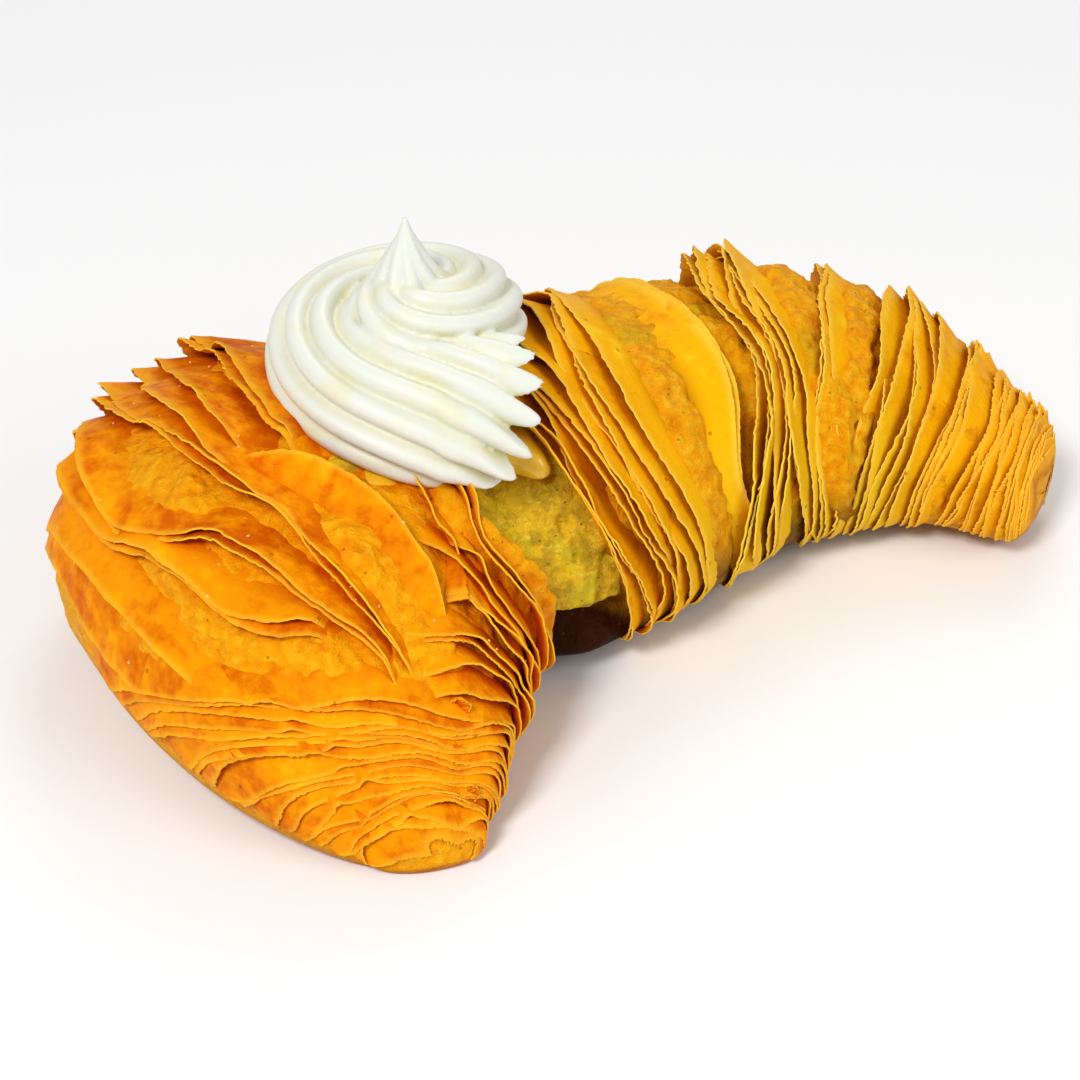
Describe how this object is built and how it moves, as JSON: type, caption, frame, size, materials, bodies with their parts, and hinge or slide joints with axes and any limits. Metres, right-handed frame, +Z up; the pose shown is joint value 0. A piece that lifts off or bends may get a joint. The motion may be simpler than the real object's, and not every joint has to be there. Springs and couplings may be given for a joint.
{
  "type": "lobster tail sfogliatella",
  "caption": "Crescent of flaky pastry leaves with a choux core showing in its open side, custard, and a piped rosette of whipped cream on top.",
  "frame": {"origin": "centre of the object's box on the plane it rests on", "axes": "+X from the fat lobe to the thin end of the arm (longest extent), +Y away from the viewer of the open side, +Z up through the rosette"},
  "size_m": [0.1653, 0.1238, 0.0724],
  "materials": {
    "flaky_pastry": "golden baked leaves, dry with a faint fat sheen",
    "choux_dough": "spongy, slightly moist, yellow-green",
    "custard": "glossy and smooth",
    "whipped_cream": "soft satin"
  },
  "bodies": {
    "root": {"pastry": "flaky_pastry", "choux_core": "choux_dough", "custard": "custard", "cream_rosette": "whipped_cream"}
  },
  "joints": []
}
